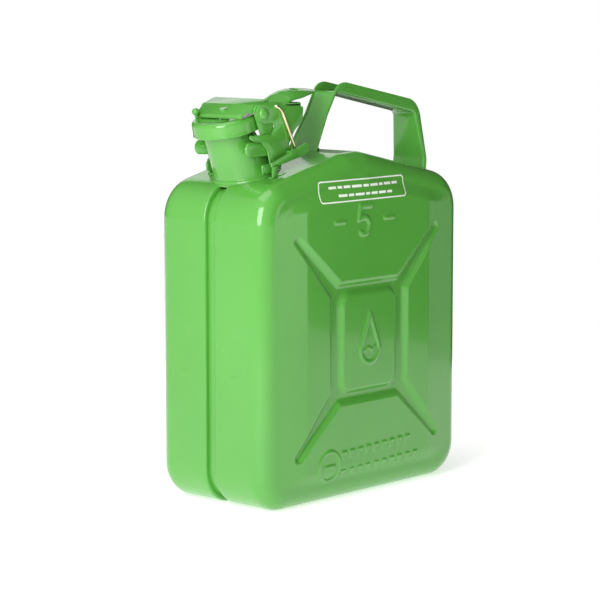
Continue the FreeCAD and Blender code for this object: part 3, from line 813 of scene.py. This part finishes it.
def build_yoke():
    """Wedge pressing over the cap: front lip, two creases, folded ends and a riveted ear each side."""
    bends = [(-7.0, 11.9, 0), (-6.6, 14.3, 1.1), (7.2, 19.0, 2.6), (19.0, 20.2, 0)]
    path = [Vector((u, 0, w)) for u, w in rounded(bends, 7)]
    section = list(path)
    for i in range(len(path) - 1, -1, -1):
        tangent = (path[min(i + 1, len(path) - 1)] - path[max(i - 1, 0)]).normalized()
        section.append(path[i] + Vector((tangent.z, 0, -tangent.x)) * YOKE_SHEET)
    verts = []
    for side in (-1, 1):
        for p in section:
            half = 23.1 + 2.3 * min(max((p.x + 8.0) / 15.0, 0.0), 1.0)
            verts.append(tuple(on_cap(p.x, side * half, p.z)))
    n = len(section)
    faces = [[i, (i + 1) % n, n + (i + 1) % n, n + i] for i in range(n)]
    faces += [[i, i + 1, n - 2 - i, n - 1 - i] for i in range(len(path) - 1)]
    faces += [[n + n - 1 - i, n + n - 2 - i, n + i + 1, n + i] for i in range(len(path) - 1)]
    sheet = bevelled(shifted(verts), faces, 0.3, 2)
    ear = [(8.0, -8.0, 1.5), (21.0, -8.0, 1.5), (21.0, 15.0, 1.5), (19.0, 20.0, 1.0),
           (7.4, 18.7, 1.5), (4.5, 17.2, 1.5), (4.5, 11.0, 2.0)]
    plate = cap_plate(ear, -27.3, -25.3, 0.4)
    fold = [(2.0, 17.0, 0.4), (0.0, 14.6, 0.8), (2.2, 12.6, 1.6), (5.0, 14.8, 1.4),
            (8.0, 12.6, 1.0), (9.5, 12.6, 0.4), (9.5, 18.9, 0.4), (7.2, 18.6, 1.0)]
    end = cap_plate(fold, -25.4, -24.3, 0.3)
    shape = joined(sheet, plate, flipped(plate), end, flipped(end))
    make_object("cap_yoke", *shape, ENAMEL, "lid", "enamel", ("lid_yoke",))


def cheek_outline():
    """Rivet eye, head, stem, hook foot and hinge eye of a side plate."""
    return rounded([
        (-84.0, 283.8, 2), (-75.7, 283.8, 1.5), (-72.6, 281.6, 1.5), (-76.6, 275.6, 1.2),
        (-99.0, 275.6, 0.8),
        (-99.3, 273.0, 1), (-94.8, 271.0, 3), (-87.0, 270.6, 5), (-81.0, 264.0, 3), (-77.6, 254.0, 1),
        (-86.8, 253.6, 0.8), (-86.0, 246.4, 2), (-67.0, 250.2, 3), (-63.8, 257.8, 1), (-57.0, 258.4, 2.5),
        (-55.4, 263.6, 2.5), (-58.2, 267.0, 2), (-52.1, 277.1, 5), (-43.0, 284.6, 2), (-42.1, 294.9, 2),
        (-58.4, 295.8, 8), (-72.0, 299.4, 5), (-80.0, 299.6, 6), (-91.0, 297.2, 5), (-92.6, 291.0, 6),
        (-90.0, 285.4, 5),
    ], 7)


def cheek_shape():
    """Near side plate with the folded rim of its hook."""
    plate = prism(cheek_outline(), -CHEEK_OUT, -CHEEK_IN, 0.35)
    edge_y = -CHEEK_OUT + 0.55
    hook = rounded([(-99.0, 274.4, 0), (-94.8, 271.6, 3), (-87.0, 271.0, 5), (-80.6, 264.2, 3),
                    (-77.2, 253.4, 1), (-86.2, 253.0, 1), (-85.6, 247.4, 0)], 8)
    rim = tube([(x, edge_y, z) for x, z in hook], 0.85, 10)
    return joined(plate, rim)


def build_cheeks():
    near = cheek_shape()
    make_object("cheek_near", *near, ENAMEL, "lid", "enamel", ("lid_cheek_near",))
    make_object("cheek_far", *flipped(near), ENAMEL, "lid", "enamel", ("lid_cheek_far",))
    dome = [(4.6, 0.0), (4.5, 0.7), (4.0, 1.5), (3.2, 2.1), (2.2, 2.5), (1.1, 2.7), (0.0, 2.75)]
    for name, sign in (("near", -1), ("far", 1)):
        verts, faces = rivet_dome(dome, (RIVET[0], sign * CHEEK_OUT, RIVET[1]), sign)
        make_object("rivet_head_" + name, verts, faces, ENAMEL, "lid", "enamel",
                    ("yoke_rivet_" + name,), 60)


def rivet_dome(profile, place, sign):
    """Round head on a side plate, pointing outwards along Y."""
    verts, faces = [], []
    sides = 40
    for radius, height in profile:
        for k in range(sides):
            a = 2 * math.pi * k / sides
            verts.append((place[0] + max(radius, 0.02) * math.cos(a), place[1] + sign * height,
                          place[2] + max(radius, 0.02) * math.sin(a)))
    for i in range(len(profile) - 1):
        for k in range(sides):
            a, b = i * sides + k, i * sides + (k + 1) % sides
            faces.append([a, b, b + sides, a + sides])
    return [Vector(v) for v in shifted(verts)], faces


def crown_ridge(x):
    """Height of the tongue's middle line."""
    return np.interp(x, [-48, -45, -42, -38, -34, -30, -26, -20, -10, -1],
                     [296.2, 297.0, 299.4, 302.6, 304.8, 306.0, 306.6, 306.8, 306.2, 305.2])


def build_lever():
    """Finger lever: flat root with a scooped front, side ears and a crowned tongue with a hole."""
    scoop = [(-66.0 + 15.0 * math.cos(math.radians(a)), 23.0 * math.sin(math.radians(a)))
             for a in np.linspace(90, -90, 15)]
    flank = [(-44.0, LEVER_OUT), (-41.0, 25.0), (-37.5, 19.0), (-33.0, 14.4), (-29.0, 13.6)]
    plan = [(-66.0, LEVER_OUT)] + scoop + [(-66.0, -LEVER_OUT)]
    plan += [(x, -y) for x, y in flank] + flank[::-1]
    n = len(plan)
    verts = shifted([(x, y, ROOT_LOW) for x, y in plan] + [(x, y, ROOT_HIGH) for x, y in plan])
    faces = [list(range(n)), list(range(2 * n - 1, n - 1, -1))]
    faces += [[i, (i + 1) % n, n + (i + 1) % n, n + i] for i in range(n)]
    root = bevelled(verts, faces, 0.3, 2)
    ear = prism(rounded([(-75.6, 293.0, 2.4), (-43.0, 293.0, 1), (-43.0, 297.0, 0.6), (-68.0, 297.0, 1),
                         (-75.6, 299.0, 2.4)], 6), -LEVER_OUT, -LEVER_IN, 0.3)
    make_object("lever_root", *joined(root, ear, flipped(ear)), ENAMEL, "lever", "enamel", ("lever",))
    tongue = make_object("lever_tongue", *crown_shape(), ENAMEL, "lever", "enamel", ("lever",))
    thicken(tongue, CROWN_SHEET)


def crown_shape():
    """Crowned tongue as a sheet, with a round hole near its end."""
    along, across, snap = 90, 60, 0.36
    verts, faces, inside = [], [], []
    for x in np.linspace(-47.0, -1.3, along):
        taper = math.sqrt(max(0.0, 1 - max(0.0, (x + 30.0) / 29.0) ** 2))
        half = CROWN_HALF * max(taper, 0.12)
        for f in np.linspace(-1, 1, across):
            y = half * f
            arch = math.sqrt(max(0.0, 1 - (y / CROWN_ARCH) ** 2)) ** 0.7
            z = CROWN_FOOT + (float(crown_ridge(x)) - CROWN_FOOT) * arch
            dx, dy = x - HOLE_X, y - HOLE_Y
            distance = math.hypot(dx, dy)
            px, py = x, y
            if abs(distance - HOLE_R) < snap:
                px, py = HOLE_X + dx / distance * HOLE_R, HOLE_Y + dy / distance * HOLE_R
            inside.append(distance < HOLE_R - snap)
            verts.append((px, py, z))
    for i in range(along - 1):
        for k in range(across - 1):
            quad = [i * across + k, i * across + k + 1, (i + 1) * across + k + 1, (i + 1) * across + k]
            if not any(inside[q] for q in quad):
                faces.append(quad)
    return [Vector(v) for v in shifted(verts)], faces


def build_wire():
    """Lock wire: across under the lever, round a bend and down beside the near cheek."""
    route = [(-72.6, 29.0, 296.0), (-72.6, -WIRE_Y, 296.0), (-67.0, -WIRE_Y, 292.0),
             (-52.6, -WIRE_Y, 263.6)]
    shape = tube(soft_path(route, (1.6, 3.2)), WIRE_LOOK_R, 18)
    make_object("wire", *shape, ZINC, "lock_wire", "zinc_wire", ("lock_wire",))


def build_brackets():
    """Hinge bars with rounded rims, each on a leg and foot."""
    outline = [(-81.5, 251.2, 1.5), (-40.4, 260.0, 4.2), (-40.4, 269.4, 4.2), (-81.5, 254.8, 1.5)]
    bar = prism(rounded(outline, 8), -BAR_OUT, -BAR_IN, 0.6, 3)
    leg = prism([(-80.0, 240.5), (-75.0, 241.5), (-75.0, 254.0), (-80.0, 253.0)], -BAR_OUT, -BAR_IN, 0.3)
    foot = prism([(-80.0, 242.6), (-66.0, 245.7), (-66.0, 247.5), (-80.0, 244.4)], -BAR_OUT, -28.2, 0.3)
    near = joined(bar, leg, foot)
    make_object("hinge_bar_near", *near, ENAMEL, "can", "enamel", ("hinge_bracket_near",))
    make_object("hinge_bar_far", *flipped(near), ENAMEL, "can", "enamel", ("hinge_bracket_far",))


# ---------------------------------------------------------------- handle

WEB_ROUTE = [(-11.2, 257.3, 0), (16.2, 302.4, 4.0), (107.6, 283.7, 7.0), (114.0, 248.0, 20.0),
             (113.0, 222.0, 10.0), (113.0, 186.0, 0)]
EDGE_ROUTE = [(-13.3, 256.8, 0), (17.3, 311.7, 13.5), (113.6, 292.6, 17.0), (117.4, 247.0, 14.0),
              (114.5, 220.0, 8.0), (114.5, 186.0, 0)]
GRIP_Z, GRIP_HALF = 285.0, 11.4
TAB_Z, TAB_HALF = 246.0, 16.6
HANDLE_SHEET, HANDLE_FOLD = 1.5, 2.4
FLANGE_LIMIT = 14.0


def flange_height(x, z, out_x, out_z):
    """Distance from a point of the web, along its outward normal, to the flanges' free edge."""
    edge = rounded(EDGE_ROUTE, 14)
    best = FLANGE_LIMIT
    for (ax, az), (bx, bz) in zip(edge[:-1], edge[1:]):
        dx, dz = bx - ax, bz - az
        cross = out_x * dz - out_z * dx
        if abs(cross) < 1e-9:
            continue
        reach = ((ax - x) * dz - (az - z) * dx) / cross
        along = ((ax - x) * out_z - (az - z) * out_x) / cross
        if -0.02 <= along <= 1.02 and 0 < reach < best:
            best = reach
    return best if best < FLANGE_LIMIT else HANDLE_SHEET


def channel_section(half, height):
    """Cross-section of the strip: web at the bottom, a flange at each side, rounded folds and edges."""
    fold, sheet = HANDLE_FOLD, HANDLE_SHEET
    inner = fold - sheet
    side = []
    for a in np.linspace(0, 90, 7):
        turn = math.radians(float(a))
        side.append((half - fold + fold * math.sin(turn), fold - fold * math.cos(turn)))
    side += [(half, max(height - 0.5, fold)), (half - 0.3, height), (half - sheet + 0.3, height),
             (half - sheet, max(height - 0.5, fold))]
    for a in np.linspace(90, 0, 5):
        turn = math.radians(float(a))
        side.append((half - fold + inner * math.sin(turn), fold - inner * math.cos(turn)))
    side = [(y, min(d, height)) for y, d in side]
    return side + [(-y, d) for y, d in reversed(side)]


def build_handle():
    """Channel handle: flanges outwards, high over the grip and fading out down both legs."""
    line = subdivided(rounded(WEB_ROUTE, 14), 3.0, False)
    verts, faces = [], []
    for i, (x, z) in enumerate(line):
        ahead, behind = line[min(i + 1, len(line) - 1)], line[max(i - 1, 0)]
        tangent = np.array([ahead[0] - behind[0], ahead[1] - behind[1]])
        tangent /= np.hypot(*tangent)
        out_x, out_z = -tangent[1], tangent[0]
        half = float(np.interp(z, [TAB_Z, GRIP_Z], [TAB_HALF, GRIP_HALF]))
        section = channel_section(half, flange_height(x, z, out_x, out_z))
        verts += [(x + out_x * depth, y, z + out_z * depth) for y, depth in section]
    n = len(section)
    for i in range(len(line) - 1):
        for k in range(n):
            a, b = i * n + k, i * n + (k + 1) % n
            faces.append([a, b, b + n, a + n])
    half_count = n // 2
    for start in (0, (len(line) - 1) * n):
        faces += [[start + k, start + k + 1, start + n - 2 - k, start + n - 1 - k]
                  for k in range(half_count - 1)]
    make_object("strap_handle", shifted(verts), faces, ENAMEL, "can", "enamel", ("handle",), 40)


build_neck()
build_lugs()
build_cap()
build_yoke()
build_cheeks()
build_lever()
build_wire()
build_brackets()
build_handle()


# ---------------------------------------------------------------- carried-over CAD nodes

def assign(node, material):
    obj = NODES[node]
    obj.data.materials.clear()
    obj.data.materials.append(material)


REMODELLED = {"body_half_near", "body_half_far", "label", "neck", "neck_lug_near", "neck_lug_far", "cap",
              "lid_yoke", "lid_cheek_near", "lid_cheek_far", "yoke_rivet_near", "yoke_rivet_far", "lever",
              "lock_wire", "hinge_bracket_near", "hinge_bracket_far", "handle"}
SPECIAL = {"cap_gasket": RUBBER, "breather_tube": STEEL}
for node_name in NODES:
    if node_name not in REMODELLED:
        assign(node_name, SPECIAL.get(node_name, ENAMEL))


# ---------------------------------------------------------------- stage, light and camera

FLOOR_GLOW = 0.62
TABLE_EDGE = 0.62
TABLE_FAR = 3.0
BRIGHT_SIDE = (-0.95, 0.05, 0.30)
DIM_WORLD, BRIGHT_WORLD = 0.04, 0.95

# Each lamp: name, place, target, width, height and watts
LAMPS = (
    ("key_left", (-0.74, -0.28, 0.46), (-0.05, 0, 0.16), 0.35, 0.6, 4.6),
    ("top_soft", (-0.3, 0.1, 1.3), (0, 0, 0.2), 0.9, 0.7, 3.5),
    ("back_soft", (0.80, 0.88, 0.80), (0, 0, 0.25), 0.8, 0.6, 1.5),
    ("left_strip", (1.10, -1.89, 0.15), (0, 0, 0.15), 0.55, 1.1, 2.3),
    ("right_strip", (2.00, -0.92, -0.02), (0, 0, 0.15), 0.55, 0.7, 0.6),
)

AZIMUTH, ELEVATION, DISTANCE = math.radians(-47.792), math.radians(7.599), 1.8226
AIM_ACROSS, AIM_HEIGHT = -0.009633, 0.143742
SENSOR_WIDTH = 36.0
FOCAL_PIXELS, PICTURE_PIXELS = 2373.249, 600.0


def floor_material():
    """Seamless white studio surface, slightly self-lit so that it stays white under the lamps."""
    material, tree, shader, coords = node_material("studio_floor")
    shade = levels(tree, noise(tree, coords, 3.0, 2.0), 0.3, 0.7, 0.0, 1.0)
    tree.links.new(mix_colour(tree, shade, (0.86, 0.86, 0.86, 1), (0.84, 0.84, 0.84, 1)),
                   shader.inputs["Base Color"])
    shader.inputs["Roughness"].default_value = 0.6
    shader.inputs["Emission Color"].default_value = (1, 1, 1, 1)
    shader.inputs["Emission Strength"].default_value = FLOOR_GLOW
    return material


def build_stage():
    """Pale table top with rounded corners."""
    corners = [(-TABLE_FAR, -TABLE_FAR, 0.1), (TABLE_EDGE, -TABLE_FAR, 0.1),
               (TABLE_EDGE, TABLE_FAR, 0.1), (-TABLE_FAR, TABLE_FAR, 0.1)]
    verts = [(x, y, 0.0) for x, y in rounded(corners, 8)]
    mesh = bpy.data.meshes.new("floor")
    mesh.from_pydata(verts, [], [list(range(len(verts)))])
    floor = bpy.data.objects.new("floor", mesh)
    bpy.context.scene.collection.objects.link(floor)
    mesh.materials.append(floor_material())


def area_light(name, place, target, width, height, power):
    data = bpy.data.lights.new(name, "AREA")
    data.shape = "RECTANGLE"
    data.size = width
    data.size_y = height
    data.energy = power
    obj = bpy.data.objects.new(name, data)
    obj.location = place
    obj.rotation_euler = (Vector(target) - Vector(place)).to_track_quat("-Z", "Y").to_euler()
    bpy.context.scene.collection.objects.link(obj)


def build_world():
    """White to the eye; as light, bright from the spout's side and dim elsewhere."""
    world = bpy.data.worlds.new("studio")
    bpy.context.scene.world = world
    world.use_nodes = True
    tree = world.node_tree
    tree.nodes.clear()
    out = tree.nodes.new("ShaderNodeOutputWorld")
    seen = tree.nodes.new("ShaderNodeBackground")
    seen.inputs["Color"].default_value = (1, 1, 1, 1)
    seen.inputs["Strength"].default_value = 1.0
    coords = tree.nodes.new("ShaderNodeTexCoord")
    toward = tree.nodes.new("ShaderNodeVectorMath")
    toward.operation = "DOT_PRODUCT"
    toward.inputs[1].default_value = BRIGHT_SIDE
    tree.links.new(coords.outputs["Generated"], toward.inputs[0])
    strength = levels(tree, toward.outputs["Value"], -0.1, 0.9, DIM_WORLD, BRIGHT_WORLD)
    lit = tree.nodes.new("ShaderNodeBackground")
    lit.inputs["Color"].default_value = (1.0, 0.99, 0.97, 1)
    tree.links.new(strength, lit.inputs["Strength"])
    path = tree.nodes.new("ShaderNodeLightPath")
    mix = tree.nodes.new("ShaderNodeMixShader")
    tree.links.new(path.outputs["Is Camera Ray"], mix.inputs["Fac"])
    tree.links.new(lit.outputs["Background"], mix.inputs[1])
    tree.links.new(seen.outputs["Background"], mix.inputs[2])
    tree.links.new(mix.outputs["Shader"], out.inputs["Surface"])


def build_camera():
    """Camera looking at the can from AZIMUTH and ELEVATION, aimed beside its middle."""
    level = math.cos(ELEVATION)
    back = Vector((math.sin(AZIMUTH) * level, -math.cos(AZIMUTH) * level, math.sin(ELEVATION)))
    aim_x, aim_y = math.cos(AZIMUTH) * AIM_ACROSS, math.sin(AZIMUTH) * AIM_ACROSS
    target = Vector((aim_x + MID_X * MM, aim_y, AIM_HEIGHT))
    data = bpy.data.cameras.new("camera")
    data.sensor_width = SENSOR_WIDTH
    data.lens = SENSOR_WIDTH * FOCAL_PIXELS / PICTURE_PIXELS
    data.clip_end = 50.0
    camera = bpy.data.objects.new("camera", data)
    camera.location = target + back * DISTANCE
    camera.rotation_euler = (-back).to_track_quat("-Z", "Y").to_euler()
    bpy.context.scene.collection.objects.link(camera)
    bpy.context.scene.camera = camera


build_stage()
build_world()
for lamp in LAMPS:
    area_light(*lamp)
bpy.context.scene.view_settings.view_transform = "Standard"
build_camera()
